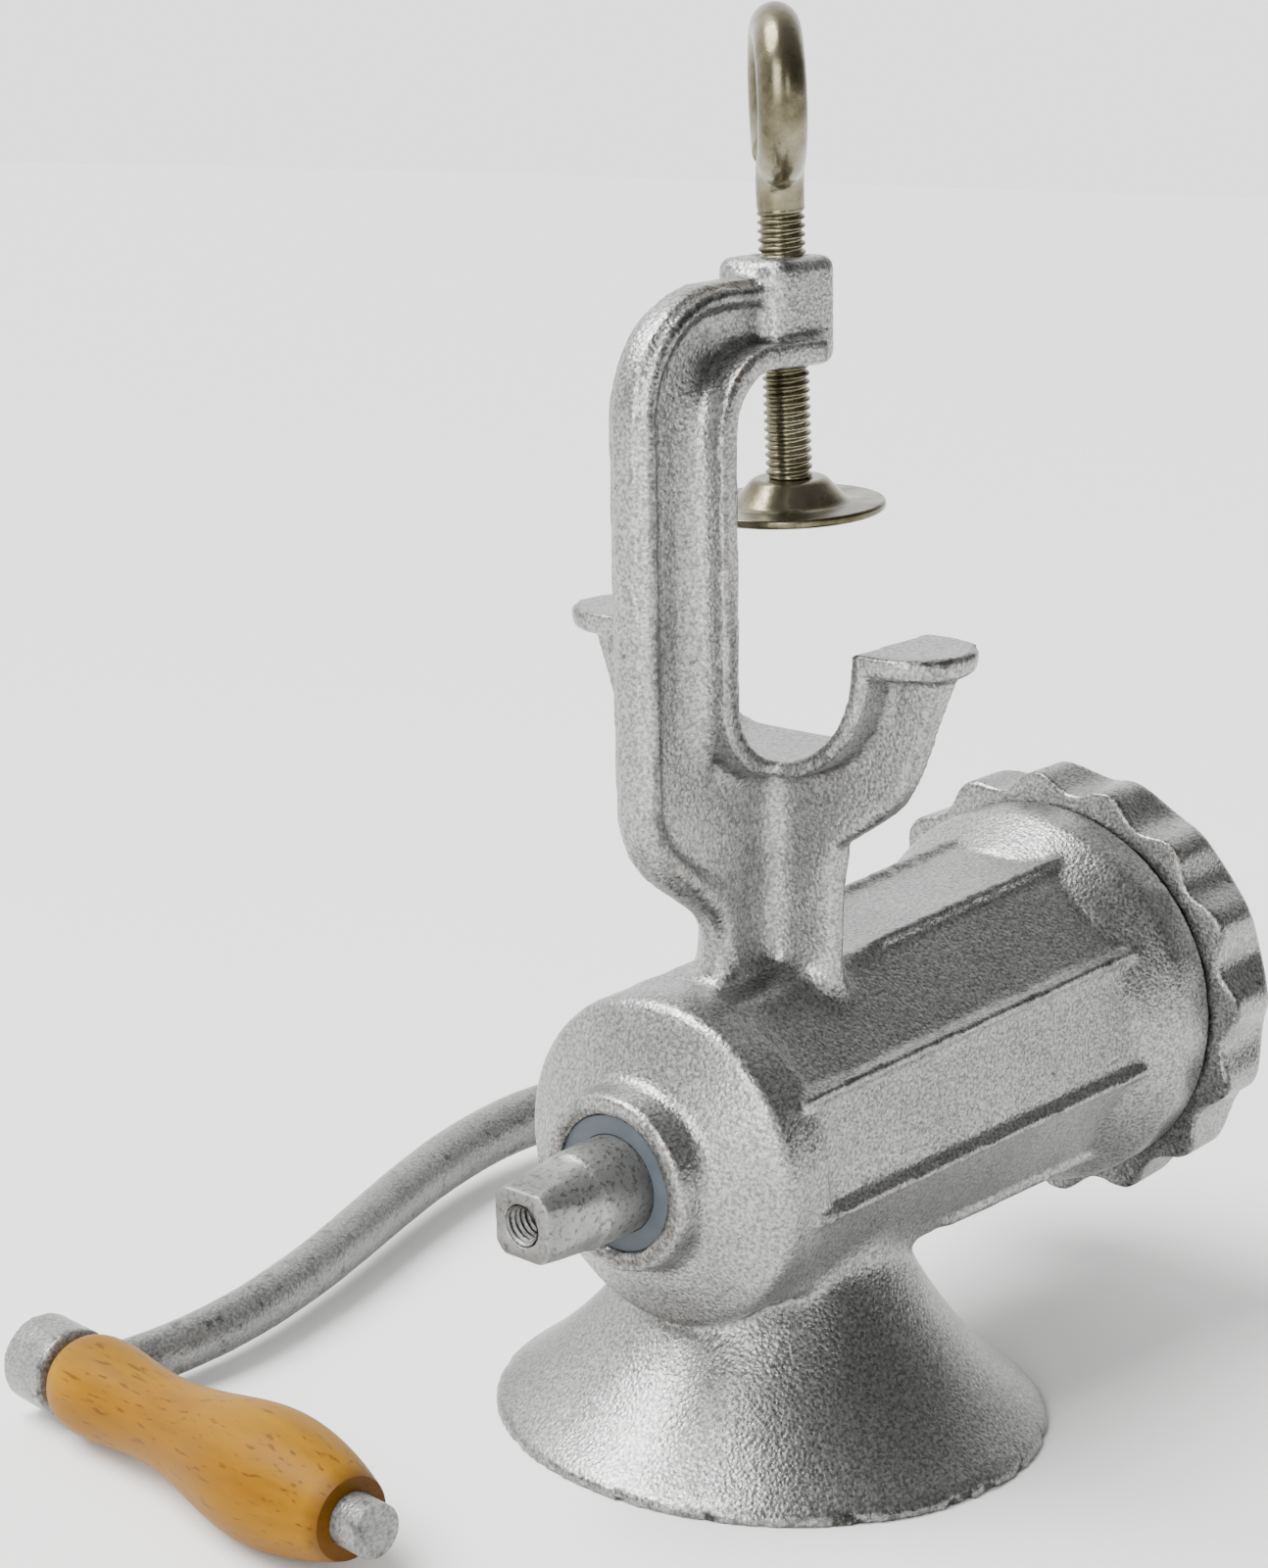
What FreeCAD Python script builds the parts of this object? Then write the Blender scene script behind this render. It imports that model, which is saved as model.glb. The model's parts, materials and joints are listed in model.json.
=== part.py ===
import FreeCAD, Part
import math
import os

os.makedirs("parts", exist_ok=True)
V = FreeCAD.Vector

# Hand crank meat grinder, upside down on its hopper, with the crank lying beside it. Millimetres.
# The casting is drawn with the barrel along X (crank end at -X), the clamp up Z and the barrel axis
# through the origin; stand() then tips it so that the hopper mouth lies flat at z = 0.

# Driving dimensions
MOUTH_R = 52.5        # hopper mouth, outside
THROAT_R = 23.8       # narrowest part of the hopper, outside
AXIS_HEIGHT = 59.4    # barrel axis above the mouth
MOUTH_TILT = 4.0      # degrees by which the barrel rises towards the ring nut
PLATE_R = 35.0        # cutting plate, 70 mm across
COLLAR_X = 88.0       # collar face that the ring nut closes on
LOBE_COUNT = 16       # scallops around the ring nut
FLANGE_X = -35.5      # edge of the rear flange
BOSS_X = -48.0        # rear end of the bearing boss
SHAFT_R = 9.0         # feed screw journal
SHAFT_END_X = -71.0   # end face of the shaft
SCREW_X = 2.1         # clamp screw axis where it leaves the boss
SCREW_R = 4.2         # clamp screw
SCREW_LEAN = 2.5      # degrees by which the drilled boss leans from the column
EYE_TURN = 43.0       # degrees from the barrel to which the eye is turned
PAD_Z = 92.5          # flat feet that sit on the table
PAD_SPAN = 43.0       # feet, middle plane to outer end
DISC_Z = 112.0        # pressing face of the clamp disc
CRANK_LENGTH = 210.0  # grip axis to hub axis
CRANK_BEND = 54.5     # sideways step of the crank arm
CRANK_TURN = -5.2     # degrees by which the loose crank lies turned on the floor
CRANK_ROLL = 1.5      # degrees by which its grip end lies raised
CRANK_PLACE = (-98.7, 86.0)  # grip end of the loose crank on the floor
GRIP_R = 11.8         # belly of the wooden grip
GRIP_LENGTH = 81.0    # wooden grip

# Fits and walls
RUNNING = 0.06        # radial clearance of a turning or screwed pair
END_PLAY = 0.1        # clearance along an axis
HOPPER_WALL = 4.5
BARREL_WALL = 5.0

# Sizes that follow from them
BORE_R = PLATE_R - 9
SEAT_R = PLATE_R + RUNNING
NOSE_R = SEAT_R + 2.9
COLLAR_R = NOSE_R + 1.6
RING_R = NOSE_R + 7.5
NOSE_X = COLLAR_X + 16
RING_FRONT_X = NOSE_X + 5.5
BARREL_R = BORE_R + BARREL_WALL
FLANGE_R = BARREL_R
BUSH_R = SHAFT_R + 3.4
BORE_REAR_X = FLANGE_X + 7.5
SEAT_X = COLLAR_X + 2
PLATE_X = NOSE_X - 4
PLATE_T = RING_FRONT_X - 4 - END_PLAY - PLATE_X
KNIFE_T = 6.8
WORM_R = BORE_R - 0.5
ARM_TOP_Z = DISC_Z + 42
ARM_LOW_Z = ARM_TOP_Z - 15
THROAT_Z = PAD_Z - 21.5
COLUMN_X = SCREW_X - 24.9
EYE_R = 11.4
EYE_Z = ARM_TOP_Z + 29.8
TAPPED_R = 3.6
HUB_R = 12.0
HUB_HALF = 11.0
GRIP_FROM = -2.0
GRIP_TO = GRIP_FROM - GRIP_LENGTH
BELLY = 0.72

PLANES = {"XZ": V(0, 1, 0), "YZ": V(1, 0, 0), "XY": V(0, 0, 1)}


def in_plane(a, b, plane):
    return {"XZ": V(a, 0, b), "YZ": V(0, a, b), "XY": V(a, b, 0)}[plane]


def outline(points, plane):
    """A flat face from a closed run of (a, b) or (a, b, corner radius) points."""
    spots = [in_plane(p[0], p[1], plane) for p in points]
    radii = [p[2] if len(p) > 2 else 0 for p in points]
    edges, ends = [], []
    for i, spot in enumerate(spots):
        to_last = (spots[i - 1] - spot).normalize()
        to_next = (spots[(i + 1) % len(spots)] - spot).normalize()
        if not radii[i]:
            ends.append((spot, spot))
            continue
        half = to_last.getAngle(to_next) / 2
        inward = (to_last + to_next).normalize()
        middle = spot + inward * (radii[i] / math.sin(half) - radii[i])
        first = spot + to_last * (radii[i] / math.tan(half))
        last = spot + to_next * (radii[i] / math.tan(half))
        edges.append(Part.Arc(first, middle, last).toShape())
        ends.append((first, last))
    for i in range(len(spots)):
        start, stop = ends[i - 1][1], ends[i][0]
        if start.distanceToPoint(stop) > 1e-6:
            edges.append(Part.makeLine(start, stop))
    return Part.Face(Part.Wire(Part.__sortEdges__(edges)))


def slab(points, plane, low, high):
    """An outline given thickness from low to high along the plane's normal."""
    face = outline(points, plane)
    face.translate(PLANES[plane] * low)
    return face.extrude(PLANES[plane] * (high - low))


def turned(points):
    """A solid turned about X from an outline of (x, radius) points."""
    return outline(points, "XZ").revolve(V(0, 0, 0), V(1, 0, 0), 360)


def rod(radius, start, stop):
    return Part.makeCylinder(radius, start.distanceToPoint(stop), start, stop - start)


def mirrored(shape):
    return shape.mirror(V(0, 0, 0), V(0, 1, 0))


def fused(shapes):
    return shapes[0].fuse(shapes[1:]).removeSplitter()


def rounded(shape, radius, heights):
    """A shape drawn upright with its level edges at these heights rounded."""
    edges = [e for e in shape.Edges for z in heights
             if abs(e.BoundBox.ZMin - z) < 1e-4 and abs(e.BoundBox.ZMax - z) < 1e-4]
    return shape.makeFillet(radius, edges)


def stand(shape):
    """Tip a shape from the casting's frame onto the hopper mouth."""
    shape = shape.copy()
    shape.rotate(V(0, 0, 0), V(0, 1, 0), -MOUTH_TILT)
    shape.translate(V(0, 0, AXIS_HEIGHT))
    return shape


def leaned(shape):
    """Lean a shape drawn about the upright clamp screw axis with the drilled boss."""
    shape = shape.copy()
    shape.translate(V(SCREW_X, 0, 0))
    shape.rotate(V(SCREW_X, 0, ARM_LOW_Z), V(0, 1, 0), -SCREW_LEAN)
    return shape


def barrel():
    """Nine-sided barrel with beaded corners, round collar, threaded nose and rear bearing boss."""
    sides = 9
    rear_x, front_x = BORE_REAR_X, COLLAR_X - 10
    corners = [math.radians(90 + (k + 0.5) * 360 / sides) for k in range(sides)]

    def ring_of_corners(x, radius):
        return [V(x, radius * math.cos(a), radius * math.sin(a)) for a in corners]

    rear = ring_of_corners(rear_x, BARREL_R)
    front = ring_of_corners(front_x, COLLAR_R - 4.5)
    body = Part.makeLoft([Part.makePolygon(p + p[:1]) for p in (rear, front)], True, True)
    beads = [rod(1.3, a, b) for a, b in zip(rear, front)]
    collar = turned([(front_x - 9, 0), (front_x - 9, COLLAR_R - 6), (front_x + 1, COLLAR_R, 4),
                     (COLLAR_X, COLLAR_R, 0.8), (COLLAR_X, NOSE_R), (NOSE_X, NOSE_R, 0.5), (NOSE_X, 0)])
    flange = turned([(rear_x + 3, 0), (rear_x + 3, FLANGE_R), (FLANGE_X, FLANGE_R, 3),
                     (FLANGE_X - 4, 22, 8), (FLANGE_X - 6, BUSH_R + 4.5, 3),
                     (BOSS_X, BUSH_R + 3.9, 1.2), (BOSS_X, 0)])
    return fused([body, collar, flange] + beads)


def clamp_frame():
    """C-shaped clamp: a web with an outer bead and a broad inner flange, and two hooked feet."""
    back_x, plate_x, front_x = COLUMN_X - 18.5, -6.0, -1.0
    low_z = BARREL_R - 12

    def side(inset):
        x, top = back_x + inset, ARM_TOP_Z - inset
        return [(x + 20, low_z), (x + 20, BARREL_R + 10 + inset, 6), (x, BARREL_R + 26 + inset, 16),
                (x, top, 22 - inset), (SCREW_X, top),
                (SCREW_X, ARM_LOW_Z), (COLUMN_X, ARM_LOW_Z, 10), (COLUMN_X, THROAT_Z, 12), (front_x, THROAT_Z),
                (front_x, low_z)]

    web = slab(side(1.2), "XZ", -4.75, 4.75)
    bead = slab(side(0), "XZ", -2.4, 2.4)
    recess = [(back_x + 24, low_z), (back_x + 24, BARREL_R + 14, 5), (back_x + 4, BARREL_R + 29, 14),
              (back_x + 4, ARM_TOP_Z - 4, 18),
              (SCREW_X - 9, ARM_TOP_Z - 4, 3), (SCREW_X - 9, ARM_LOW_Z + 2, 2), (COLUMN_X - 2, ARM_LOW_Z + 2, 10),
              (COLUMN_X - 2, THROAT_Z - 2, 12), (front_x, THROAT_Z - 2), (front_x, low_z)]
    web = web.cut([slab(recess, "XZ", -5, -3), slab(recess, "XZ", 3, 5)])
    flange = slab([(SCREW_X, ARM_LOW_Z), (COLUMN_X, ARM_LOW_Z, 10), (COLUMN_X, THROAT_Z, 12),
                   (7.5, THROAT_Z), (7.5, THROAT_Z - 3.2), (COLUMN_X - 4.2, THROAT_Z - 3.2, 15),
                   (COLUMN_X - 4.2, ARM_LOW_Z + 4.2, 14), (SCREW_X, ARM_LOW_Z + 4.2)], "XZ", -10, 10)
    boss = slab([(SCREW_X - 11, -8, 4), (SCREW_X + 6.2, -8, 4), (SCREW_X + 6.2, 8, 4), (SCREW_X - 11, 8, 4)],
                "XY", ARM_LOW_Z - 1, ARM_TOP_Z + 3)
    boss = rounded(boss, 2.4, (ARM_LOW_Z - 1, ARM_TOP_Z + 3))
    inner = PAD_SPAN - 16.5
    hook = slab([(0, low_z), (16.8, low_z), (16.8, THROAT_Z - 16.7, 2), (PAD_SPAN - 12, THROAT_Z - 7, 22),
                 (PAD_SPAN - 2.3, PAD_Z - 3),
                 (inner + 1.5, PAD_Z - 3), (inner + 1.5, THROAT_Z - 3, 20), (0, THROAT_Z - 3)],
                "YZ", plate_x, front_x)
    rim = slab([(0, THROAT_Z), (inner - 0.8, THROAT_Z, 18), (inner, PAD_Z), (inner + 3.2, PAD_Z),
                (inner + 2.4, THROAT_Z - 3.2, 21), (0, THROAT_Z - 3.2)], "YZ", -14.5, 7.5)
    pad = slab([(-14.5, inner), (7.5, inner), (7.5, PAD_SPAN, 10.5), (-14.5, PAD_SPAN, 10.5)],
               "XY", PAD_Z - 4.5, PAD_Z)
    pad = rounded(pad, 2.2, (PAD_Z - 4.5,))
    foot = fused([hook, rim, pad])
    return fused([web, bead, flange, boss, foot, mirrored(foot)])


def hopper(outer_r, throat_r, low_z):
    """Trumpet about the mouth's axis, from the mouth up into the barrel."""
    top_z = AXIS_HEIGHT - BARREL_R + 7
    start, stop = V(outer_r - 1.5, 0, low_z + 3), V(throat_r, 0, top_z)
    middle = (start + stop) * 0.5 + V(-2, 0, -2)
    corners = [stop, V(throat_r, 0, AXIS_HEIGHT - 10), V(0, 0, AXIS_HEIGHT - 10), V(0, 0, low_z),
               V(outer_r, 0, low_z), V(outer_r, 0, low_z + 1.5), start]
    edges = [Part.Arc(start, middle, stop).toShape()]
    edges += [Part.makeLine(a, b) for a, b in zip(corners, corners[1:])]
    return Part.Face(Part.Wire(edges)).revolve(V(0, 0, 0), V(0, 0, 1), 360)


def body_casting():
    """The one iron casting: hopper, barrel and clamp frame, bored and faced."""
    casting = fused([stand(fused([barrel(), clamp_frame()])), hopper(MOUTH_R, THROAT_R, 0)])
    bore = rod(BORE_R, V(BORE_REAR_X, 0, 0), V(NOSE_X + 1, 0, 0))
    seat = rod(SEAT_R, V(SEAT_X, 0, 0), V(NOSE_X + 1, 0, 0))
    bearing = rod(BUSH_R, V(BOSS_X - 1, 0, 0), V(BORE_REAR_X + 1, 0, 0))
    thread = leaned(rod(SCREW_R + RUNNING, V(0, 0, ARM_LOW_Z - 5), V(0, 0, ARM_TOP_Z + 5)))
    cuts = [stand(s) for s in (bore, seat, bearing, thread, plate_pin(0))]
    cuts.append(hopper(MOUTH_R - HOPPER_WALL, THROAT_R - HOPPER_WALL, -1))
    return casting.cut(cuts).removeSplitter()


def plate_pin(inset):
    """Pin in the edge of the seat that keeps the cutting plate from turning."""
    return rod(1.75, V(SEAT_X - 6, 0, SEAT_R), V(NOSE_X - inset, 0, SEAT_R))


def rear_bush():
    """Plastic bearing pressed into the rear boss."""
    return rod(BUSH_R, V(BOSS_X + 1, 0, 0), V(BORE_REAR_X, 0, 0)).cut(
        rod(SHAFT_R + RUNNING, V(BOSS_X, 0, 0), V(BORE_REAR_X + 1, 0, 0)))


def feed_screw():
    """Left-handed worm with its journal and the squared, tapped end for the crank."""
    shoulder_x, front_x, pitch, core_r = BORE_REAR_X + 2, SEAT_X - 1, 34.0, WORM_R / 2
    length = front_x - shoulder_x - 4

    def around(radius, turn):
        return V(radius * math.cos(math.radians(turn)), radius * math.sin(math.radians(turn)), 0)

    root_a, tip_a, tip_b, root_b = around(core_r, -48), around(WORM_R, -22), around(WORM_R, 22), around(core_r, 48)
    section = Part.Wire([Part.Arc(root_b, around(core_r, 180), root_a).toShape(), Part.makeLine(root_a, tip_a),
                         Part.Arc(tip_a, around(WORM_R, 0), tip_b).toShape(), Part.makeLine(tip_b, root_b)])
    sweep = Part.BRepOffsetAPI.MakePipeShell(Part.Wire([Part.makeLine(V(0, 0, 0), V(0, 0, length))]))
    sweep.setAuxiliarySpine(Part.Wire(Part.makeHelix(pitch, length, WORM_R, 0, True).Edges), True, 0)
    sweep.add(section)
    sweep.build()
    sweep.makeSolid()
    worm = sweep.shape()
    worm.rotate(V(0, 0, 0), V(0, 1, 0), 90)
    worm.translate(V(shoulder_x + 4, 0, 0))
    shoulder = rod(SHAFT_R + 6, V(shoulder_x, 0, 0), V(shoulder_x + 4, 0, 0))
    round_x = SHAFT_END_X + 13
    journal = rod(SHAFT_R, V(round_x, 0, 0), V(shoulder_x, 0, 0))
    end = Part.makeCone(7.5, 8.6, 13, V(SHAFT_END_X, 0, 0), V(1, 0, 0))
    squares = [Part.makePolygon([V(x, s * h, t * h) for s, t in ((-1, -1), (1, -1), (1, 1), (-1, 1), (-1, -1))])
               for x, h in ((SHAFT_END_X, 6.3), (round_x, 8.3))]
    end = end.common(Part.makeLoft(squares, True, True))
    tapped = rod(TAPPED_R, V(SHAFT_END_X - 1, 0, 0), V(SHAFT_END_X + 18, 0, 0))
    stud_hole = rod(5, V(front_x - 16, 0, 0), V(front_x + 1, 0, 0))
    return fused([worm, shoulder, journal, end]).cut([tapped, stud_hole])


def thrust_washer():
    """Washer between the worm's shoulder and the rear wall of the bore."""
    x = BORE_REAR_X + END_PLAY
    return rod(16, V(x, 0, 0), V(BORE_REAR_X + 2, 0, 0)).cut(
        rod(SHAFT_R + RUNNING, V(x - 1, 0, 0), V(x + 3, 0, 0)))


def knife_stud():
    """Stud in the worm's end: square for the knife, round for the plate."""
    front_x, knife_x = SEAT_X - 1, PLATE_X - END_PLAY
    square = slab([(-5, -5), (5, -5), (5, 5), (-5, 5)], "YZ", front_x, knife_x)
    return fused([rod(5, V(front_x - 16, 0, 0), V(front_x, 0, 0)), square,
                  rod(4.9, V(knife_x, 0, 0), V(PLATE_X + PLATE_T, 0, 0))])


def cross_knife():
    """Four-bladed knife on the stud's square, flat against the plate."""
    low, high = PLATE_X - END_PLAY - KNIFE_T, PLATE_X - END_PLAY
    tip = PLATE_R - 2.5
    blade = slab([(-4.5, 0), (4.5, 0), (4.5, tip - 3), (3, tip), (-4.5, tip)], "YZ", low, high)
    bevel = slab([(low - 1, -9), (low - 1, -1), (high - 1.5, -6), (high - 1.5, -9)], "XY", 11, tip + 5)
    blade = blade.cut(bevel)
    blades = []
    for k in range(4):
        turn = blade.copy()
        turn.rotate(V(0, 0, 0), V(1, 0, 0), 90 * k)
        blades.append(turn)
    hub = rod(11, V(low, 0, 0), V(high, 0, 0))
    return fused([hub] + blades).cut(slab([(-5, -5), (5, -5), (5, 5), (-5, 5)], "YZ", low - 1, high + 1))


def cutting_plate():
    """Round plate with three rings of holes and a notch for its pin."""
    low, high = PLATE_X, PLATE_X + PLATE_T
    holes = [rod(4.9 + RUNNING, V(low - 1, 0, 0), V(high + 1, 0, 0))]
    holes.append(rod(2.1, V(low - 1, 0, SEAT_R), V(high + 1, 0, SEAT_R)))
    for radius, count in ((PLATE_R - 22.5, 7), (PLATE_R - 15, 12), (PLATE_R - 7.5, 17)):
        for k in range(count):
            a = 2 * math.pi * k / count
            y, z = radius * math.sin(a), radius * math.cos(a)
            holes.append(rod(3.1, V(low - 1, y, z), V(high + 1, y, z)))
    return rod(PLATE_R, V(low, 0, 0), V(high, 0, 0)).cut(holes)


def ring_nut():
    """Scalloped ring nut that holds the plate on the nose."""
    rear_x = COLLAR_X + 0.6
    points = []
    for k in range(LOBE_COUNT * 6):
        a = 2 * math.pi * k / (LOBE_COUNT * 6)
        r = RING_R - 1.7 + 1.7 * math.cos(LOBE_COUNT * a + 1.4)
        points.append(V(rear_x, r * math.cos(a), r * math.sin(a)))
    edge = Part.BSplineCurve()
    edge.interpolate(points, True)
    lobed = Part.Face(Part.Wire(edge.toShape())).extrude(V(RING_FRONT_X - rear_x, 0, 0))
    lobed = lobed.common(turned([(rear_x, 0), (rear_x, RING_R + 1), (rear_x + 10.5, RING_R + 1, 3),
                                 (RING_FRONT_X, RING_R - 6.5), (RING_FRONT_X, 0)]))
    lip_x = RING_FRONT_X - 4
    return lobed.cut([rod(NOSE_R + RUNNING, V(rear_x - 1, 0, 0), V(lip_x, 0, 0)),
                      rod(PLATE_R - 3, V(rear_x, 0, 0), V(RING_FRONT_X + 1, 0, 0))])


def clamp_disc():
    """Dished disc that swivels on the clamp screw's tip."""
    top, hole = DISC_Z + 6, 3.4 + RUNNING
    profile = [(hole, top), (6.5, top, 2), (10.5, DISC_Z + 1.6, 2), (17, DISC_Z + 1.6, 0.6), (17, DISC_Z, 0.6),
               (9.5, DISC_Z, 1.5), (6, top - 1.6, 1.5), (hole, top - 1.6)]
    return leaned(outline(profile, "XZ").revolve(V(0, 0, 0), V(0, 0, 1), 360))


def clamp_screw():
    """Clamp screw with its end bent into an eye, and a button that holds the disc."""
    top = DISC_Z + 6
    bend_r = 6.0
    lean = math.acos(bend_r / (EYE_R + bend_r))
    start_z = EYE_Z - (EYE_R + bend_r) * math.sin(lean)
    sweep = math.radians(308)
    bend_end = V(-bend_r + bend_r * math.cos(lean), 0, start_z + bend_r * math.sin(lean))
    bend_mid = V(-bend_r + bend_r * math.cos(lean / 2), 0, start_z + bend_r * math.sin(lean / 2))

    def on_eye(turn):
        a = math.pi + lean - turn
        return V(EYE_R * math.cos(a), 0, EYE_Z + EYE_R * math.sin(a))

    path = Part.Wire([Part.makeLine(V(0, 0, top + END_PLAY), V(0, 0, start_z)),
                      Part.Arc(V(0, 0, start_z), bend_mid, bend_end).toShape(),
                      Part.Arc(bend_end, on_eye(sweep / 2), on_eye(sweep)).toShape()])
    section = Part.Wire(Part.makeCircle(SCREW_R, V(0, 0, top + END_PLAY), V(0, 0, 1)))
    screw = path.makePipeShell([section], True, True)
    screw.rotate(V(0, 0, 0), V(0, 0, 1), EYE_TURN)
    tip = rod(3.4, V(0, 0, top - 3), V(0, 0, top + 1))
    button = rod(5, V(0, 0, top - 4), V(0, 0, top - 1.6 - END_PLAY))
    return leaned(fused([screw, tip, button]))


def lay(shape):
    """Lay a shape from the crank's frame (grip axis along -Y, hub at +X) on its grip's belly and hub."""
    roll = math.sin(math.radians(CRANK_ROLL))
    height = GRIP_R + (GRIP_FROM - BELLY * GRIP_LENGTH) * roll
    pitch = math.asin((HUB_R + (CRANK_BEND + HUB_HALF) * roll - height) / CRANK_LENGTH)
    shape = shape.copy()
    shape.rotate(V(0, 0, 0), V(1, 0, 0), -CRANK_ROLL)
    shape.rotate(V(0, 0, 0), V(0, 1, 0), -math.degrees(pitch))
    shape.rotate(V(0, 0, 0), V(0, 0, 1), CRANK_TURN)
    shape.translate(V(*CRANK_PLACE, height))
    return shape


def crank_arm():
    """Cast crank arm: grip boss, S-bent tapering arm and hub with a square socket."""
    sections, boss_y, bend_from, bend_to = [], 3.0, 18, CRANK_LENGTH - 43
    for k in range(13):
        x = CRANK_LENGTH * k / 12
        t = min(max((x - bend_from) / (bend_to - bend_from), 0), 1)
        step = CRANK_BEND - boss_y
        slope = step * 6 * t * (1 - t) / (bend_to - bend_from)
        section = Part.Ellipse(V(0, 0, 0), 5.2 + 1.8 * t, 4.5 + 2 * t).toShape()
        section.rotate(V(0, 0, 0), V(0, 1, 0), 90)
        section.rotate(V(0, 0, 0), V(0, 0, 1), math.degrees(math.atan(slope)))
        section.translate(V(x, boss_y + step * t * t * (3 - 2 * t), -3.5 * (1 - t)))
        sections.append(Part.Wire(section))
    arm = Part.makeLoft(sections, True, False)
    boss = rod(8.5, V(0, -1.5, 0), V(0, 11, 0))
    hub_at = V(CRANK_LENGTH, CRANK_BEND, 0)
    hub = rod(HUB_R, hub_at - V(0, HUB_HALF, 0), hub_at + V(0, HUB_HALF, 0))
    socket = Part.makeBox(13, HUB_HALF + 2, 13, hub_at - V(6.5, 1, 6.5))
    bolt = rod(TAPPED_R - 0.1 + RUNNING, hub_at - V(0, HUB_HALF + 1, 0), hub_at)
    spindle = rod(3.2, V(0, -5, 0), V(0, 12, 0))
    return fused([arm, boss, hub]).cut([socket, bolt, spindle])


def grip_spindle():
    """Steel pin riveted into the boss, with the head that keeps the grip on."""
    head = rod(4.7, V(0, GRIP_TO - END_PLAY, 0), V(0, GRIP_TO - 6.5, 0))
    shank = rod(3.2, V(0, GRIP_TO - 1, 0), V(0, 11, 0))
    peened = Part.makeCone(5, 3, 1.8, V(0, 11, 0), V(0, 1, 0))
    return fused([head, shank, peened])


def wood_grip():
    """Turned wooden grip with a bead at the arm end, a waist and a full belly."""
    shape = [(0, 6.6), (0.02, 8), (0.09, 9.2), (0.2, 8.6), (0.34, 8), (0.55, GRIP_R - 1.8), (BELLY, GRIP_R),
             (0.9, GRIP_R - 2), (1, GRIP_R - 4.6)]
    curve = Part.BSplineCurve()
    curve.interpolate([V(r, GRIP_FROM - GRIP_LENGTH * t, 0) for t, r in shape])
    hole = 3.2 + RUNNING
    corners = [V(shape[-1][1], GRIP_TO, 0), V(hole, GRIP_TO, 0), V(hole, GRIP_FROM, 0), V(shape[0][1], GRIP_FROM, 0)]
    edges = [curve.toShape()] + [Part.makeLine(a, b) for a, b in zip(corners, corners[1:])]
    return Part.Face(Part.Wire(edges)).revolve(V(0, 0, 0), V(0, 1, 0), 360)


def thumb_screw():
    """Winged screw that holds the crank on the shaft, left in the hub."""
    shank = rod(TAPPED_R - 0.1, V(0, -3, 0), V(0, 26, 0))
    collar = rod(7, V(0, -5, 0), V(0, -END_PLAY, 0))
    wings = slab([(-6, -4), (6, -4), (11.5, -14, 3), (5, -14, 2), (0, -8, 3), (-5, -14, 2), (-11.5, -14, 3)],
                 "XY", -1.6, 1.6)
    screw = fused([shank, collar, wings])
    screw.translate(V(CRANK_LENGTH, CRANK_BEND - HUB_HALF, 0))
    return screw


STANDING = {
    "plate_pin": plate_pin(1), "rear_bush": rear_bush(), "feed_screw": feed_screw(),
    "thrust_washer": thrust_washer(), "knife_stud": knife_stud(), "cross_knife": cross_knife(),
    "cutting_plate": cutting_plate(), "ring_nut": ring_nut(), "clamp_disc": clamp_disc(),
    "clamp_screw": clamp_screw(),
}
LYING = {
    "crank_arm": crank_arm(), "grip_spindle": grip_spindle(),
    "wood_grip": wood_grip(), "thumb_screw": thumb_screw(),
}
PARTS = {"body_casting": body_casting()}
PARTS.update((node, stand(shape)) for node, shape in STANDING.items())
PARTS.update((node, lay(shape)) for node, shape in LYING.items())
for node, shape in PARTS.items():
    shape.exportStep(f"parts/{node}.step")
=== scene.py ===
import json
import math

import bpy
import numpy as np
from mathutils import Matrix, Vector, noise


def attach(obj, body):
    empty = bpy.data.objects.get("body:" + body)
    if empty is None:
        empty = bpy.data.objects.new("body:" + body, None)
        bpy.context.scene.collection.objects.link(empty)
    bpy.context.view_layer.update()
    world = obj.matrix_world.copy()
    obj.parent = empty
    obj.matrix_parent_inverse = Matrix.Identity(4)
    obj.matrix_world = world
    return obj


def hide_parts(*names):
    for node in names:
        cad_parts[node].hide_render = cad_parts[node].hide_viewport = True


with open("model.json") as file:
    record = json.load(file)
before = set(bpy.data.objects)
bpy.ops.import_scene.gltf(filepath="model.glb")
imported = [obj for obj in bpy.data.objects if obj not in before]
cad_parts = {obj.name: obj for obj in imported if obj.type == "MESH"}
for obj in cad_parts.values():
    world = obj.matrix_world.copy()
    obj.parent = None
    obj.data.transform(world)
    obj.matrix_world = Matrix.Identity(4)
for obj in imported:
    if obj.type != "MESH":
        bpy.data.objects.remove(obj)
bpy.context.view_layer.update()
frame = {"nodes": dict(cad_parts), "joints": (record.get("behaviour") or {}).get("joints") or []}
nodes = frame["nodes"]
joints = {joint["name"]: joint for joint in frame["joints"]}


# Body casting: hopper, barrel and clamp column in one piece of grey iron, poured in sand and dipped in tin.
# The sand leaves every edge round and the skin uneven, so the sharp solid gets a fine new skin that is
# relaxed, most of all where the neck and the hopper run into the barrel, and then roughened a little.
RELAX = 0.6           # share of the way that a point moves to the middle of its neighbours
SWELL = 0.5           # share that it moves back, so that the casting doesn't shrink
SPOT_ROUNDS = 70      # rounds of relaxing inside the soft spots
SPOT_EDGE = 1.6       # how steeply a soft spot fades out at its reach
SAG_DEPTH = 0.00010   # waviness of the skin, in metres
SAG_INWARDS = 0.9     # keeps the waves inside the solid
FACES_KEPT = 0.45     # the even skin has more faces than its smooth stretches need


def add_object(name, data):
    thing = bpy.data.objects.new(name, data)
    bpy.context.scene.collection.objects.link(thing)
    return thing


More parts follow.
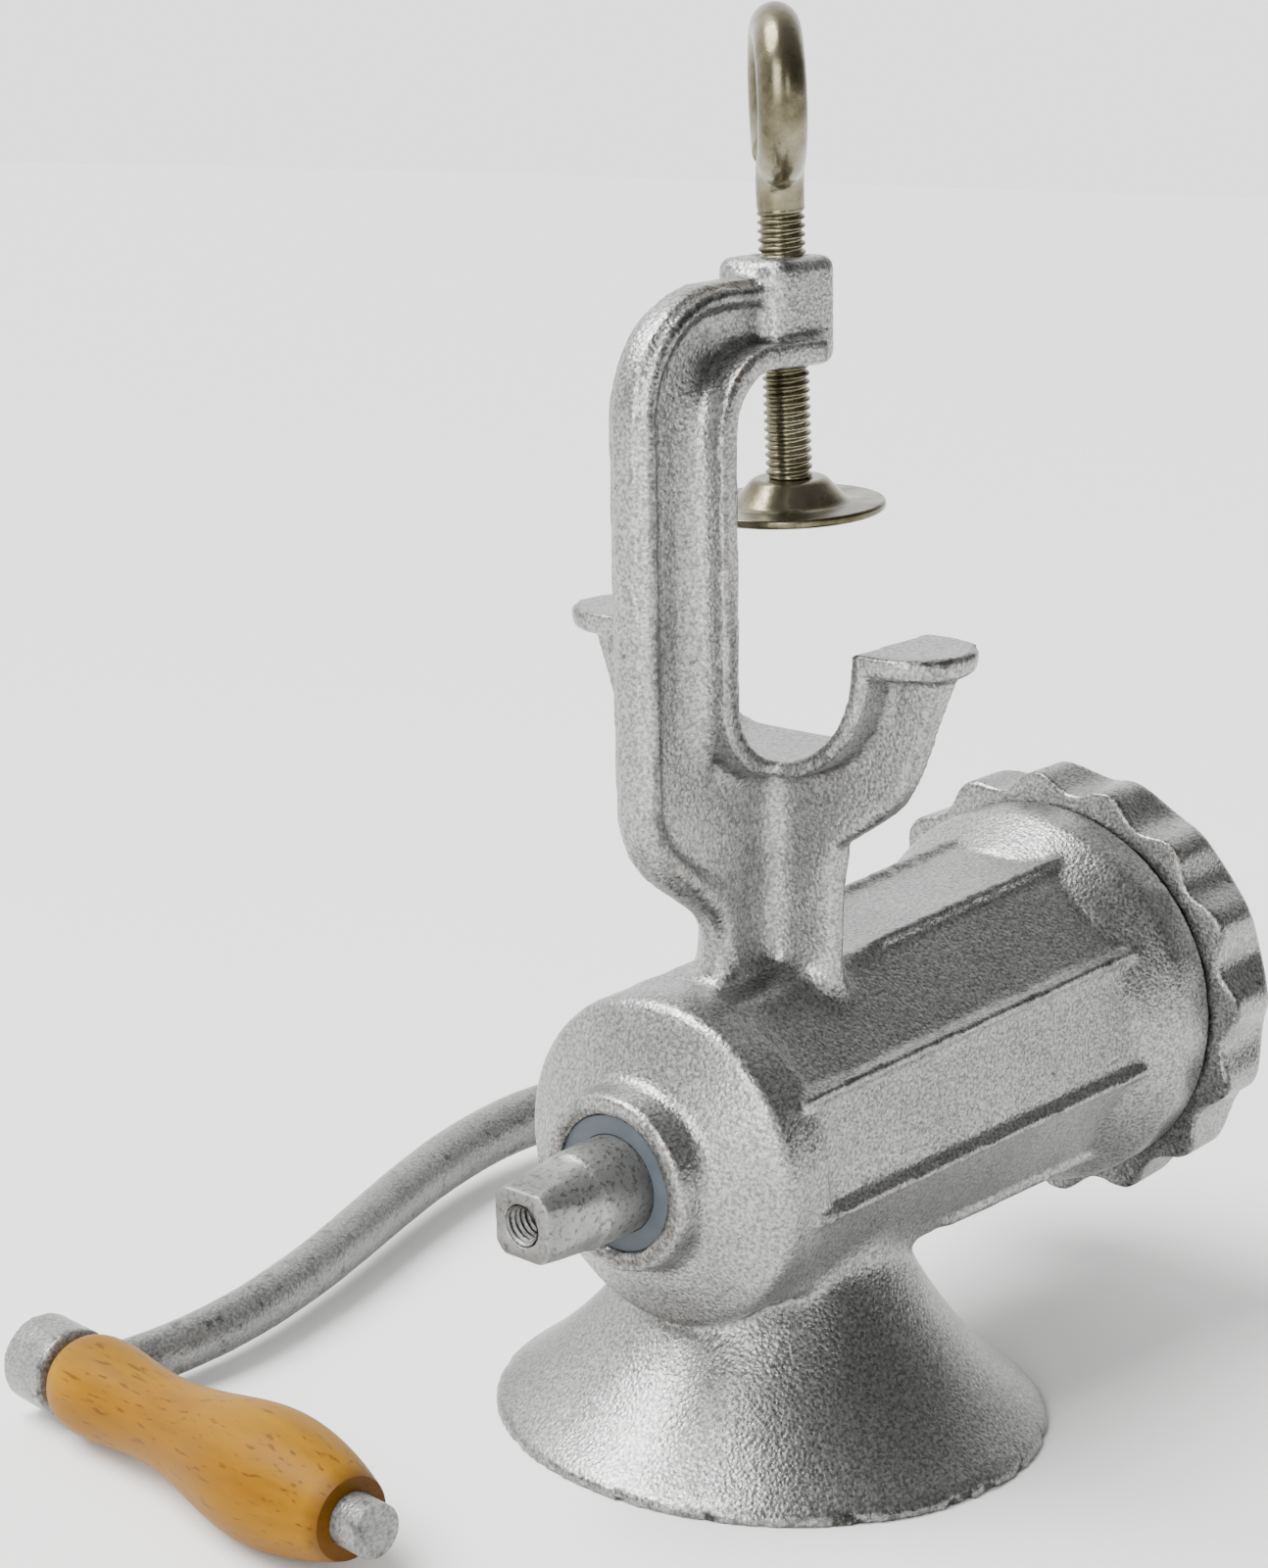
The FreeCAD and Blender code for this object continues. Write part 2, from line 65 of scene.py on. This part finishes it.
def voxel_skin(node, size):
    """An even mesh of small faces over a solid."""
    blank = add_object(node + "_blank", nodes[node].data.copy())
    remesh = blank.modifiers.new("skin", "REMESH")
    remesh.mode = "VOXEL"
    remesh.voxel_size = size
    bpy.context.view_layer.update()
    mesh = bpy.data.meshes.new_from_object(blank.evaluated_get(bpy.context.evaluated_depsgraph_get()))
    bpy.data.objects.remove(blank)
    mesh.materials.clear()
    return mesh


def vertex_rows(mesh, field):
    values = np.empty(len(mesh.vertices) * 3)
    mesh.vertices.foreach_get(field, values)
    return values.reshape(-1, 3)


def neighbour_mean(mesh):
    """A function that takes one row per vertex and gives the mean of each vertex's neighbours."""
    count = len(mesh.vertices)
    ends = np.empty(len(mesh.edges) * 2, np.int64)
    mesh.edges.foreach_get("vertices", ends)
    a, b = ends.reshape(-1, 2).T
    neighbours = np.maximum(np.bincount(a, minlength=count) + np.bincount(b, minlength=count), 1)

    def mean(rows):
        total = [np.bincount(a, rows[b, k], count) + np.bincount(b, rows[a, k], count)
                 for k in range(rows.shape[1])]
        return np.stack(total, 1) / neighbours[:, None]

    return mean


def unevenness(point, coarse, fine, fine_share):
    """Smooth random waves of two sizes: coarse and fine are waves per metre."""
    return noise.noise(point * coarse) + fine_share * noise.noise(point * fine)


def sand_cast(node, body, skin, rounds, soft_spots=()):
    """A casting made over a solid: soft_spots are (centre, reach) in which inner corners run out wide."""
    mesh = voxel_skin(node, skin)
    points = vertex_rows(mesh, "co")
    settled = neighbour_mean(mesh)
    for _ in range(rounds):
        points += RELAX * (settled(points) - points)
        points -= SWELL * (settled(points) - points)
    if soft_spots:
        ease = np.zeros(len(points))
        for centre, reach in soft_spots:
            away = np.linalg.norm(points - np.array(centre), axis=1) / reach
            ease = np.maximum(ease, np.clip(SPOT_EDGE - SPOT_EDGE * away, 0, 1))
        for _ in range(SPOT_ROUNDS):
            points += RELAX * ease[:, None] * (settled(points) - points)
    mesh.vertices.foreach_set("co", points.ravel())
    mesh.update()

    # How hollow the skin is at each point, above 0 in inner corners and below 0 on edges, for the finish.
    normals = vertex_rows(mesh, "normal")
    hollow = np.einsum("ij,ij->i", settled(points) - points, normals)[:, None] / skin
    for _ in range(3):
        hollow = settled(hollow)
    sag = np.array([unevenness(Vector(p), 90, 420, 0.4) for p in points])
    points += normals * (SAG_DEPTH * (sag - SAG_INWARDS))[:, None]
    points[:, 2] = np.maximum(points[:, 2], 0)
    mesh.vertices.foreach_set("co", points.ravel())
    corner = mesh.attributes.new("corner", "FLOAT", "POINT")
    corner.data.foreach_set("value", hollow[:, 0].astype(np.float32))
    mesh.shade_smooth()
    mesh.update()
    piece = add_object(node + "_cast", mesh)
    piece.modifiers.new("fewer_faces", "DECIMATE").ratio = FACES_KEPT
    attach(piece, body)
    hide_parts(node)
    return piece


def new_material(name):
    material = bpy.data.materials.new(name)
    material.use_nodes = True
    tree = material.node_tree
    return material, tree, tree.nodes["Principled BSDF"]


def add_node(tree, kind, **settings):
    node = tree.nodes.new(kind)
    for key, value in settings.items():
        if key in node.inputs:
            node.inputs[key].default_value = value
        else:
            setattr(node, key, value)
    return node


def plug(tree, value, socket):
    """Gives an input a link, a colour or a plain number."""
    if isinstance(value, bpy.types.NodeSocket):
        tree.links.new(value, socket)
    else:
        socket.default_value = (*value, 1) if hasattr(value, "__len__") else value


def own_place(tree):
    return add_node(tree, "ShaderNodeTexCoord").outputs["Object"]


def patches(tree, place, scale, detail, roughness=0.5):
    """Soft irregular patches, about 1 / scale metres wide."""
    texture = add_node(tree, "ShaderNodeTexNoise", Scale=scale, Detail=detail, Roughness=roughness)
    tree.links.new(place, texture.inputs["Vector"])
    return texture.outputs["Fac"]


def shades(tree, factor, stops):
    """A ramp of colours or greys: stops are (place, colour)."""
    ramp = tree.nodes.new("ShaderNodeValToRGB")
    while len(ramp.color_ramp.elements) < len(stops):
        ramp.color_ramp.elements.new(0.5)
    for element, (place, colour) in zip(ramp.color_ramp.elements, stops):
        element.position = place
        element.color = (*colour, 1) if hasattr(colour, "__len__") else (colour, colour, colour, 1)
    tree.links.new(factor, ramp.inputs["Fac"])
    return ramp.outputs["Color"]


def blended(tree, kind, factor, first, second):
    mix = tree.nodes.new("ShaderNodeMix")
    mix.data_type = "RGBA"
    mix.blend_type = kind
    plug(tree, factor, mix.inputs["Factor"])
    plug(tree, first, mix.inputs[6])
    plug(tree, second, mix.inputs[7])
    return mix.outputs[2]


def worked_out(tree, operation, first, second):
    node = add_node(tree, "ShaderNodeMath", operation=operation)
    plug(tree, first, node.inputs[0])
    plug(tree, second, node.inputs[1])
    return node.outputs[0]


def coat(tree, skin, colour, roughness, metal=0.0):
    tree.links.new(colour, skin.inputs["Base Color"])
    tree.links.new(roughness, skin.inputs["Roughness"])
    skin.inputs["Metallic"].default_value = metal


def emboss(tree, skin, height, strength, depth):
    bump = add_node(tree, "ShaderNodeBump", Strength=strength, Distance=depth)
    tree.links.new(height, bump.inputs["Height"])
    tree.links.new(bump.outputs["Normal"], skin.inputs["Normal"])


def tinned_iron(name, bright, dark, grime_and_shade, pitted=0.64, metal=0.92):
    """Tinned sand casting: a sugary grain of bright facets, dark pits, painted shade in the inner corners
    and worn edges.
    """
    material, tree, skin = new_material(name)
    place = own_place(tree)
    grain = patches(tree, place, 1500, 2, 0.6)
    clouds = patches(tree, place, 38, 4, 0.55)
    pits = patches(tree, place, 330, 4, 0.7)
    cells = add_node(tree, "ShaderNodeTexVoronoi", Scale=1300.0, Randomness=1.0)
    tree.links.new(place, cells.inputs["Vector"])
    facets = cells.outputs["Distance"]
    corner = add_node(tree, "ShaderNodeAttribute", attribute_name="corner").outputs["Fac"]

    middle = [0.5 * (d + b) for d, b in zip(dark, bright)]
    base = shades(tree, grain, [(0.36, dark), (0.50, middle), (0.63, bright)])
    cloudy = shades(tree, clouds, [(0.3, 0.68), (0.62, 1.0)])
    base = blended(tree, "MULTIPLY", 0.55, base, cloudy)
    in_pits = shades(tree, pits, [(pitted, 0.0), (pitted + 0.1, 0.75)])
    base = blended(tree, "MIX", in_pits, base, grime_and_shade)
    # Painted shade: where the corner attribute is above 0, in the inner corners, the colour is mixed towards
    # the dark pit colour.
    painted_corner_shade = shades(tree, corner, [(0.02, 0.0), (0.07, 0.5)])
    base = blended(tree, "MIX", painted_corner_shade, base, grime_and_shade)

    on_edges = shades(tree, worked_out(tree, "MULTIPLY", corner, -1), [(0.05, 0.0), (0.11, 0.92)])
    broken_up = shades(tree, pits, [(0.44, 0.1), (0.56, 1.0)])
    bare_iron, rust = [0.8 * c for c in grime_and_shade], (0.12, 0.06, 0.025)
    worn = shades(tree, clouds, [(0.60, bare_iron), (0.70, rust)])
    base = blended(tree, "MIX", worked_out(tree, "MULTIPLY", on_edges, broken_up), base, worn)

    coat(tree, skin, base, shades(tree, facets, [(0.0, 0.20), (0.55, 0.36)]), metal)
    emboss(tree, skin, worked_out(tree, "ADD", grain, facets), 0.28, 0.0003)
    return material


tin_material = tinned_iron("tinned_casting", (0.42, 0.42, 0.412), (0.17, 0.17, 0.167), (0.030, 0.030, 0.027))
neck_and_hopper = [((-0.012, 0, 0.090), 0.028), ((-0.014, 0, 0.118), 0.017), ((0.0, 0, 0.034), 0.034),
                   ((-0.040, 0, 0.057), 0.010)]
web_foot, web_head, web_half, web_reach = (-0.0318, 0.124), (-0.0376, 0.198), 0.0035, 0.0045
web_corners = [((x, y, z), web_reach)
               for x, z in np.linspace(web_foot, web_head, 30) for y in (-web_half, web_half)]
casting = sand_cast("body_casting", "housing", 0.0008, 5, neck_and_hopper + web_corners)
casting.data.materials.append(tin_material)

# The hopper's lip is chipped where it has been set down, and the tin is gone from the chips.
lip_height, lip_r, chip_depth, chip_wear = 0.004, 0.047, 0.0007, 0.11
for point, edge in zip(casting.data.vertices, casting.data.attributes["corner"].data):
    out = point.co.xy.length
    if point.co.z < lip_height and out > lip_r:
        rough = unevenness(point.co, 150, 470, 0.6)
        chip = min(1, max(0, 1.8 * rough - 0.1)) * (1 - point.co.z / lip_height)
        point.co.xy *= 1 - chip_depth * chip / out
        edge.value -= chip_wear * chip


# Rear bush: a smooth blue-grey plastic sleeve pressed into the boss, in which the shaft turns.
# It is turned from bar and polished by use. The washer behind the worm is of the same plastic.
bush_material, tree, skin = new_material("bush_plastic")
mottle = patches(tree, own_place(tree), 120, 3)
base = shades(tree, mottle, [(0.3, (0.042, 0.054, 0.066)), (0.7, (0.065, 0.080, 0.094))])
coat(tree, skin, base, shades(tree, mottle, [(0.3, 0.34), (0.7, 0.5)]))


def dress(node, material, edge=0.0):
    """A solid keeps its shape and gets its finish, with its sharp edges broken if edge is given."""
    piece = nodes[node]
    piece.data.materials.clear()
    piece.data.materials.append(material)
    if edge:
        bevel = piece.modifiers.new("broken_edges", "BEVEL")
        bevel.width = edge
        bevel.segments = 3
        bevel.limit_method = "ANGLE"
        bevel.angle_limit = math.radians(32)


dress("rear_bush", bush_material, 0.0004)
dress("thrust_washer", bush_material)


# Feed screw: cast worm and shaft, the end filed square for the crank and tapped for its screw.
# The bare iron is darker than the tinned body and finely pitted. The tapped hole shows its thread.
shaft_material, tree, skin = new_material("shaft_iron")
place = own_place(tree)
pits = patches(tree, place, 900, 4, 0.65)
tone = patches(tree, place, 70, 4)
base = shades(tree, tone, [(0.3, (0.13, 0.13, 0.125)), (0.7, (0.34, 0.34, 0.33))])
in_pits = shades(tree, pits, [(0.52, 0.0), (0.64, 0.7)])
base = blended(tree, "MIX", in_pits, base, (0.04, 0.04, 0.036))
coat(tree, skin, base, shades(tree, tone, [(0.3, 0.52), (0.7, 0.36)]), 0.85)
emboss(tree, skin, pits, 0.5, 0.0004)
shaft = sand_cast("feed_screw", "feed", 0.0006, 5)
shaft.data.materials.append(shaft_material)


def axis_frame(joint, side):
    """Origin and three directions of a joint, the first along its axis and the second towards side."""
    along = Vector(joints[joint]["axis"]).normalized()
    across = (Vector(side) - along * along.dot(Vector(side))).normalized()
    return Vector(joints[joint]["pos_m"]), along, across, along.cross(across)


def skinned(name, rings, closed_ends):
    """A tube through equal rings of points."""
    width, last = len(rings[0]), len(rings) - 1
    faces = []
    for start in range(0, last * width, width):
        for k in range(width):
            after = (k + 1) % width
            faces.append((start + k, start + after, start + width + after, start + width + k))
    if closed_ends:
        faces += [tuple(range(width - 1, -1, -1)), tuple(range(last * width, (last + 1) * width))]
    mesh = bpy.data.meshes.new(name)
    mesh.from_pydata(np.concatenate(rings).tolist(), [], faces)
    mesh.shade_smooth()
    return add_object(name, mesh)


def thread_depth(height, angles, pitch):
    """Share of a right-handed thread's depth, 0 on the flat root and 1 on the flat crest."""
    crest, flank = 1.5, 4.2
    phase = np.mod(height / pitch - angles / (2 * math.pi), 1)
    return np.clip(crest - np.abs(phase - 0.5) * flank, 0, 1)


origin, along, across, up = axis_frame("feed_screw_turn", (0, 1, 0))
shaft_end, tap_start, tap_step, tap_steps, tap_lead_in = -0.071, 0.0002, 0.000156, 96, 6
tap_r, tap_depth, tap_pitch = 0.00357, 0.00052, 0.00125
angles = np.linspace(0, 2 * math.pi, 40, endpoint=False)
rings = []
for k in range(tap_steps):
    depth = tap_start + k * tap_step
    radius = tap_r - tap_depth * thread_depth(depth, angles, tap_pitch) * min(1, k / tap_lead_in)
    centre = np.array(origin + along * (shaft_end + depth))
    rings.append(centre + np.outer(radius * np.cos(angles), across) - np.outer(radius * np.sin(angles), up))
shaft_thread = skinned("shaft_thread", rings, False)
shaft_thread.data.materials.append(shaft_material)
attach(shaft_thread, "feed")


# Cutting set: stud, four-bladed knife, holed plate and its pin, all ground steel, behind the ring nut.
# Grinding and use leave a slight haze and darker patches.
steel_material, tree, skin = new_material("ground_steel")
place = own_place(tree)
haze = patches(tree, place, 260, 4)
marks = patches(tree, place, 60, 6, 0.75)
base = shades(tree, marks, [(0.35, (0.17, 0.17, 0.165)), (0.65, (0.42, 0.42, 0.41))])
coat(tree, skin, base, shades(tree, haze, [(0.3, 0.22), (0.7, 0.42)]), 0.95)
emboss(tree, skin, haze, 0.2, 0.0002)
for node in ("knife_stud", "cross_knife", "plate_pin", "cutting_plate"):
    dress(node, steel_material)


# Ring nut: a second tinned casting with rounded lobes for the hand, threaded inside.
# It is handled most, so its tin is duller and its lobes are worn dark.
ring_material = tinned_iron("handled_casting", (0.38, 0.38, 0.37), (0.15, 0.15, 0.147), (0.03, 0.03, 0.027),
                            pitted=0.60)
ring = sand_cast("ring_nut", "ring", 0.0007, 8)
ring.data.materials.append(ring_material)


# Clamp screw: 8.4 mm rod with a rolled thread, its upper end bent cold into an eye for the hand.
# The zinc plating is yellowish, clouded and specked dark. A button at the tip holds the disc.
zinc_material, tree, skin = new_material("zinc_plate")
place = own_place(tree)
cloud = patches(tree, place, 85, 5, 0.65)
speck = patches(tree, place, 520, 3, 0.7)
base = shades(tree, cloud, [(0.32, (0.060, 0.052, 0.029)), (0.50, (0.150, 0.134, 0.084)),
                            (0.70, (0.270, 0.250, 0.185))])
in_specks = shades(tree, speck, [(0.62, 0.0), (0.70, 0.7)])
base = blended(tree, "MIX", in_specks, base, (0.07, 0.06, 0.04))
coat(tree, skin, base, shades(tree, cloud, [(0.3, 0.34), (0.7, 0.18)]), 0.92)
emboss(tree, skin, speck, 0.25, 0.0002)

origin, along, across, beside = axis_frame("clamp_screw_turn", (1, 0, 0))
eye_turn = math.radians(43)
eye_way = across * math.cos(eye_turn) + beside * math.sin(eye_turn)
eye_side = along.cross(eye_way)
rod_r, eye_r, bend_r, eye_z = 0.0042, 0.0114, 0.006, 0.0448
lean = math.acos(bend_r / (eye_r + bend_r))
bend_z = eye_z - (eye_r + bend_r) * math.sin(lean)
angles = np.linspace(0, 2 * math.pi, 48, endpoint=False)
ways = np.outer(np.cos(angles), eye_way) + np.outer(np.sin(angles), eye_side)

button = ((-0.025, 0.0003), (-0.025, 0.0046), (-0.0246, 0.005), (-0.0227, 0.005), (-0.0227, 0.0034),
          (-0.0209, 0.0034), (-0.0209, 0.0036))
rings = [np.array(origin) + np.array(along) * z + ways * r for z, r in button]
thread_end, run_out, groove, pitch, inside = 0.0262, 0.0015, 0.00058, 0.0015, 0.00003
thread_step, plain_step = 0.00018, 0.0012
z = -0.0207
while z < bend_z - 0.0001:
    fade = min(1, max(0, (thread_end - z) / run_out))
    radius = rod_r - inside - groove * fade * (1 - thread_depth(z, angles, pitch))
    rings.append(np.array(origin) + np.array(along) * z + ways * radius[:, None])
    z += thread_step if fade else plain_step

bend = [(t, bend_r * math.cos(t) - bend_r, bend_z + bend_r * math.sin(t)) for t in np.linspace(0, lean, 10)]
loop = [(lean - t, -eye_r * math.cos(lean - t), eye_z - eye_r * math.sin(lean - t))
        for t in np.linspace(0, math.radians(308), 80)[1:]]
for t, out, height in bend + loop:
    spot = np.array(origin + eye_way * out + along * height)
    outward = np.array(eye_way * math.cos(t) + along * math.sin(t))
    rings.append(spot + rod_r * (np.outer(np.cos(angles), outward) + np.outer(np.sin(angles), eye_side)))
cut_end, heading = rings[-1] - spot, np.array(-eye_way * math.sin(t) + along * math.cos(t))
for step, share in ((0.0004, 0.95), (0.0008, 0.80), (0.0009, 0.02)):
    rings.append(spot + heading * step + cut_end * share)
clamp_screw = skinned("clamp_screw_rod", rings, True)
clamp_screw.data.materials.append(zinc_material)
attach(clamp_screw, "screw")
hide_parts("clamp_screw")


# Clamp disc: a dish pressed from steel sheet that swivels on the screw's tip and bears on the table.
# It is plated like the screw, and its rim is barely broken.
dress("clamp_disc", zinc_material, 0.0003)


# Crank arm: boss, bent arm and hub in one iron casting, lying loose on the floor.
# It is left grey and half dull, with dark specks of scale, and its edges are the roundest of all.
crank_material = tinned_iron("crank_casting", (0.27, 0.27, 0.26), (0.13, 0.13, 0.126), (0.022, 0.022, 0.019),
                             pitted=0.57, metal=0.5)
crank = sand_cast("crank_arm", "crank", 0.0007, 12)
crank.data.materials.append(crank_material)


# Grip: turned hardwood under a thin honey-coloured varnish, free to turn on its pin.
# The grain runs along the grip, with short dark flecks, and the free end is painted dark for the shade in
# the recess around the pin's head.
wood_material, tree, skin = new_material("varnished_wood")
origin, along = axis_frame("grip_turn", (0, 0, 1))[:2]
stretch = 6
lengthwise = add_node(tree, "ShaderNodeMapping", vector_type="TEXTURE", Location=origin,
                      Rotation=along.to_track_quat("Z", "Y").to_euler(), Scale=(1, 1, stretch))
tree.links.new(own_place(tree), lengthwise.inputs["Vector"])
place = lengthwise.outputs["Vector"]
fibre = patches(tree, place, 520, 4, 0.6)
fleck = patches(tree, place, 1300, 1, 0.4)
tone = patches(tree, place, 60, 3)
base = shades(tree, tone, [(0.32, (0.165, 0.068, 0.0)), (0.52, (0.230, 0.104, 0.0)),
                           (0.70, (0.290, 0.138, 0.0))])
base = blended(tree, "MULTIPLY", 0.5, base, shades(tree, fibre, [(0.35, 0.72), (0.6, 1.0)]))
in_flecks = shades(tree, fleck, [(0.63, 0.0), (0.72, 0.6)])
base = blended(tree, "MIX", in_flecks, base, (0.055, 0.016, 0.001))

# Painted shade: the last few millimetres before the free end are darkened, for the shadow in the recess
# around the pin's head.
end_shade_width = 0.0032
free_end = max(along.dot(vertex.co - origin) for vertex in nodes["wood_grip"].data.vertices)
from_boss = add_node(tree, "ShaderNodeSeparateXYZ")
tree.links.new(place, from_boss.inputs[0])
painted_end_shade = add_node(tree, "ShaderNodeMapRange", **{"From Min": (free_end - end_shade_width) / stretch,
                                                "From Max": free_end / stretch, "To Max": 0.75})
tree.links.new(from_boss.outputs["Z"], painted_end_shade.inputs["Value"])
base = blended(tree, "MIX", painted_end_shade.outputs["Result"], base, (0.060, 0.018, 0.001))
coat(tree, skin, base, shades(tree, fibre, [(0.3, 0.42), (0.7, 0.55)]))
skin.inputs["Specular IOR Level"].default_value = 0.12
emboss(tree, skin, fibre, 0.12, 0.0003)
dress("wood_grip", wood_material)


# Grip pin: an iron pin, headed at the free end and hammered over in the boss, so that it stays in the grip.
# Its head is rounded by the hammer and as grey and specked as the crank.
dress("grip_spindle", crank_material, 0.0018)


# Thumb screw: a winged screw that holds the crank on the shaft, kept in the hub while the crank is off.
# It is zinc-plated like the clamp screw.
dress("thumb_screw", zinc_material, 0.0005)


# Floor, lights and camera: a wide pale floor, a soft light from the left, a narrow weak one from the front
# and a wide one from above. The surroundings are dark on the camera's side and bright behind the object,
# with a pale band at the horizon that takes over from the floor.
floor_half = 40
floor_mesh = bpy.data.meshes.new("floor")
floor_corners = [(x * floor_half, y * floor_half, 0) for x, y in ((-1, -1), (1, -1), (1, 1), (-1, 1))]
floor_mesh.from_pydata(floor_corners, [], [(0, 1, 2, 3)])
floor = add_object("floor", floor_mesh)
floor_material, tree, skin = new_material("pale_floor")
skin.inputs["Base Color"].default_value = (0.90, 0.90, 0.89, 1)
skin.inputs["Roughness"].default_value = 0.8
floor.data.materials.append(floor_material)

world = bpy.data.worlds.new("studio")
bpy.context.scene.world = world
world.use_nodes = True
tree = world.node_tree
direction = add_node(tree, "ShaderNodeTexCoord").outputs["Generated"]
facing = add_node(tree, "ShaderNodeVectorMath", operation="DOT_PRODUCT")
facing.inputs[1].default_value = (0.35, 0.94, 0.0)
tree.links.new(direction, facing.inputs[0])
spread = add_node(tree, "ShaderNodeMapRange", **{"From Min": -1})
tree.links.new(facing.outputs["Value"], spread.inputs["Value"])
sky = shades(tree, spread.outputs["Result"], [(0.05, 0.01), (0.50, 0.08), (0.84, 0.66)])
height = add_node(tree, "ShaderNodeSeparateXYZ")
tree.links.new(direction, height.inputs[0])
horizon = shades(tree, height.outputs["Z"], [(0.03, 0.50), (0.16, 0.0)])
sky = blended(tree, "LIGHTEN", 1.0, sky, horizon)
tree.links.new(sky, tree.nodes["Background"].inputs["Color"])
tree.nodes["Background"].inputs["Strength"].default_value = 3.2


def soft_light(name, spot, aim, size, power):
    lamp = bpy.data.lights.new(name, "AREA")
    lamp.shape = "RECTANGLE"
    lamp.size, lamp.size_y = size
    lamp.energy = power
    light = add_object(name, lamp)
    light.location = spot
    light.rotation_euler = (Vector(aim) - Vector(spot)).to_track_quat("-Z", "Y").to_euler()


soft_light("left_light", (-1.0, -0.30, 0.50), (0, 0, 0.10), (0.55, 0.8), 11)
soft_light("front_light", (-0.5, -1.1, 0.45), (0, 0, 0.08), (0.2, 0.5), 1.4)
overhead = add_object("overhead", bpy.data.lights.new("overhead", "SUN"))
overhead.data.energy = 6.5
overhead.data.angle = math.radians(40)
overhead.rotation_euler = Vector((-0.38, 0.35, 0.86)).to_track_quat("Z", "Y").to_euler()

camera = add_object("camera", bpy.data.cameras.new("camera"))
camera.data.lens = 66.53
camera.data.sensor_width = 36
camera.location = (-0.40945, -0.31691, 0.23057)
azimuth, elevation, roll = math.radians(-49.01), math.radians(12.06), math.radians(1.61)
level = Vector((math.sin(azimuth), -math.cos(azimuth), 0))
back = level * math.cos(elevation) + Vector((0, 0, math.sin(elevation)))
side = Vector((math.cos(azimuth), math.sin(azimuth), 0))
top = back.cross(side)
side, top = side * math.cos(roll) + top * math.sin(roll), top * math.cos(roll) - side * math.sin(roll)
camera.rotation_euler = Matrix((side, top, back)).transposed().to_euler()
bpy.context.scene.camera = camera
